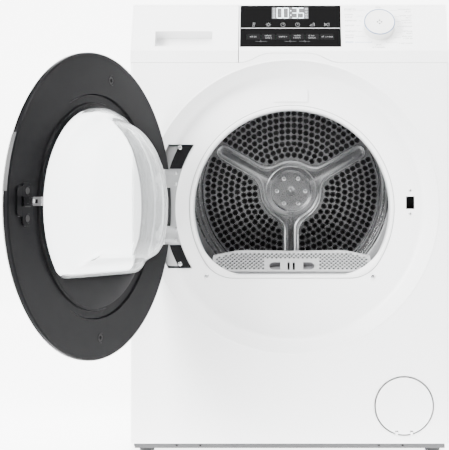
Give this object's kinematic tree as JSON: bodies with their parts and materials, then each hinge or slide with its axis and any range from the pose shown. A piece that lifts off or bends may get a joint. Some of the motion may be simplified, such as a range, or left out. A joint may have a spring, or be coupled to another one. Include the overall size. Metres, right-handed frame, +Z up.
{
  "type": "clothes dryer",
  "caption": "Free-standing front-loading heat-pump tumble dryer with a round glazed door, spinning drum, tank drawer, lint filter and control fascia.",
  "frame": {"origin": "middle of the cabinet's footprint, on the floor under the feet", "axes": "+X to the right seen from the front, +Y from the front to the back, +Z up"},
  "size_m": [0.7422, 1.0649, 0.845],
  "materials": {
    "white_enamel": "smooth satin enamel",
    "white_plastic": "satin moulded plastic",
    "white_laminate": "laminated board with a fine texture",
    "rear_steel": "galvanised sheet",
    "base_grey": "dark moulded plastic",
    "bulkhead_grey": "light grey moulded plastic",
    "filter_grey": "light grey moulded plastic",
    "drum_steel": "bright rolled stainless steel",
    "lifter_grey": "grey moulded plastic",
    "machine_steel": "turned steel",
    "screw_steel": "zinc plated",
    "hinge_steel": "pressed steel",
    "hook_chrome": "polished",
    "felt": "pressed felt",
    "seal_rubber": "light grey rubber",
    "foot_rubber": "black rubber",
    "belt_rubber": "ribbed black rubber",
    "roller_tyre": "hard rubber",
    "motor_paint": "dark paint",
    "compressor_paint": "black paint",
    "fan_plastic": "moulded plastic",
    "duct_plastic": "moulded plastic",
    "fin_aluminium": "stacked fins",
    "pipe_copper": "copper tube",
    "pump_plastic": "moulded plastic",
    "board_green": "printed circuit board",
    "display_black": "glossy black",
    "key_black": "glossy black",
    "knob_grey": "satin light grey",
    "latch_black": "black plastic",
    "door_black": "satin black plastic",
    "door_inner_black": "satin black plastic",
    "window_glass": "clear",
    "bowl_glass": "clear pressed glass",
    "tank_clear": "milky plastic"
  },
  "bodies": {
    "cabinet": {"left_side_panel": "white_enamel", "right_side_panel": "white_enamel", "worktop": "white_laminate", "base_tray": "base_grey", "rear_feet": "foot_rubber", "front_panel": "white_enamel", "rear_panel": "rear_steel", "rear_duct_cover": "rear_steel", "front_bulkhead": "bulkhead_grey", "front_felt": "felt", "mouth_seal": "seal_rubber", "rear_bearing": "machine_steel", "roller_axles": "machine_steel", "drive_belt": "belt_rubber", "drive_motor": "motor_paint", "fan_housing": "duct_plastic", "air_duct": "duct_plastic", "heat_exchangers": "fin_aluminium", "compressor": "compressor_paint", "refrigerant_pipes": "pipe_copper", "drain_pump": "pump_plastic", "fascia": "white_plastic", "display_window": "display_black", "control_board": "board_green", "service_socket": "white_plastic", "lamp_cover": "white_plastic", "door_latch": "latch_black", "hinge_plate": "hinge_steel", "hinge_covers": "latch_black", "panel_screws": "screw_steel", "cord_gland": "latch_black"},
    "drum": {"drum_shell": "drum_steel", "drum_back": "drum_steel", "drum_lifters": "lifter_grey", "drum_shaft": "machine_steel", "hub_screws": "screw_steel"},
    "left_support_roller": {"left_roller": "roller_tyre"},
    "right_support_roller": {"right_roller": "roller_tyre"},
    "motor_rotor": {"motor_pulley": "machine_steel", "fan_wheel": "fan_plastic"},
    "selector": {"programme_knob": "knob_grey"},
    "button_1": {"key_1": "key_black"},
    "button_2": {"key_2": "key_black"},
    "button_3": {"key_3": "key_black"},
    "button_4": {"key_4": "key_black"},
    "button_5": {"key_5": "key_black"},
    "button_6": {"key_6": "key_black"},
    "tank_drawer": {"tank_drawer_front": "white_plastic", "water_tank": "tank_clear"},
    "lint_filter": {"filter_cover": "filter_grey", "filter_cassette": "filter_grey"},
    "flap": {"service_flap": "white_plastic"},
    "left_foot": {"front_left_foot": "foot_rubber"},
    "right_foot": {"front_right_foot": "foot_rubber"},
    "door": {"door_outer_ring": "door_black", "door_inner_ring": "door_inner_black", "door_window": "window_glass", "door_bowl": "bowl_glass", "latch_hook": "hook_chrome", "hinge_arms": "hinge_steel"}
  },
  "joints": [
    {"name": "door_hinge", "type": "hinge", "parent": "cabinet", "child": "door", "pos_m": [-0.236, -0.304, 0.46], "axis": [0, 0, -1], "range_deg": [-113.8, 20]},
    {"name": "drum_spin", "type": "hinge", "parent": "cabinet", "child": "drum", "pos_m": [0.004, 0, 0.496], "axis": [0, -1, 0], "continuous": true},
    {"name": "left_roller_spin", "type": "hinge", "parent": "cabinet", "child": "left_support_roller", "pos_m": [-0.19443, -0.193, 0.24202], "axis": [0, -1, 0], "continuous": true},
    {"name": "right_roller_spin", "type": "hinge", "parent": "cabinet", "child": "right_support_roller", "pos_m": [0.20243, -0.193, 0.24202], "axis": [0, -1, 0], "continuous": true},
    {"name": "motor_spin", "type": "hinge", "parent": "cabinet", "child": "motor_rotor", "pos_m": [-0.19, 0, 0.13], "axis": [0, -1, 0], "continuous": true},
    {"name": "knob_turn", "type": "hinge", "parent": "cabinet", "child": "selector", "pos_m": [0.1684, -0.27559, 0.79791], "axis": [0, -0.8829, 0.4695], "continuous": true},
    {"name": "button_1_press", "type": "slide", "parent": "cabinet", "child": "button_1", "axis": [0, 0.8829, -0.4695], "range_m": [0, 0.0012], "stiffness_N_per_m": 1000},
    {"name": "button_2_press", "type": "slide", "parent": "cabinet", "child": "button_2", "axis": [0, 0.8829, -0.4695], "range_m": [0, 0.0012], "stiffness_N_per_m": 1000},
    {"name": "button_3_press", "type": "slide", "parent": "cabinet", "child": "button_3", "axis": [0, 0.8829, -0.4695], "range_m": [0, 0.0012], "stiffness_N_per_m": 1000},
    {"name": "button_4_press", "type": "slide", "parent": "cabinet", "child": "button_4", "axis": [0, 0.8829, -0.4695], "range_m": [0, 0.0012], "stiffness_N_per_m": 1000},
    {"name": "button_5_press", "type": "slide", "parent": "cabinet", "child": "button_5", "axis": [0, 0.8829, -0.4695], "range_m": [0, 0.0012], "stiffness_N_per_m": 1000},
    {"name": "button_6_press", "type": "slide", "parent": "cabinet", "child": "button_6", "axis": [0, 0.8829, -0.4695], "range_m": [0, 0.0012], "stiffness_N_per_m": 1000},
    {"name": "tank_slide", "type": "slide", "parent": "cabinet", "child": "tank_drawer", "axis": [0, -1, 0], "range_m": [0, 0.42]},
    {"name": "filter_lift", "type": "slide", "parent": "cabinet", "child": "lint_filter", "axis": [0, 0, 1], "range_m": [0, 0.13]},
    {"name": "flap_fold", "type": "hinge", "parent": "cabinet", "child": "flap", "pos_m": [0.214, -0.2985, 0.037], "axis": [1, 0, 0], "range_deg": [0, 85]},
    {"name": "left_foot_screw", "type": "hinge", "parent": "cabinet", "child": "left_foot", "pos_m": [-0.27, -0.262, 0], "axis": [0, 0, 1], "continuous": true},
    {"name": "right_foot_screw", "type": "hinge", "parent": "cabinet", "child": "right_foot", "pos_m": [0.27, -0.262, 0], "axis": [0, 0, 1], "continuous": true}
  ],
  "couplings": [
    {"joint": "left_roller_spin", "follows": "drum_spin", "ratio": -8.2},
    {"joint": "right_roller_spin", "follows": "drum_spin", "ratio": -8.2},
    {"joint": "motor_spin", "follows": "drum_spin", "ratio": 25.513}
  ]
}
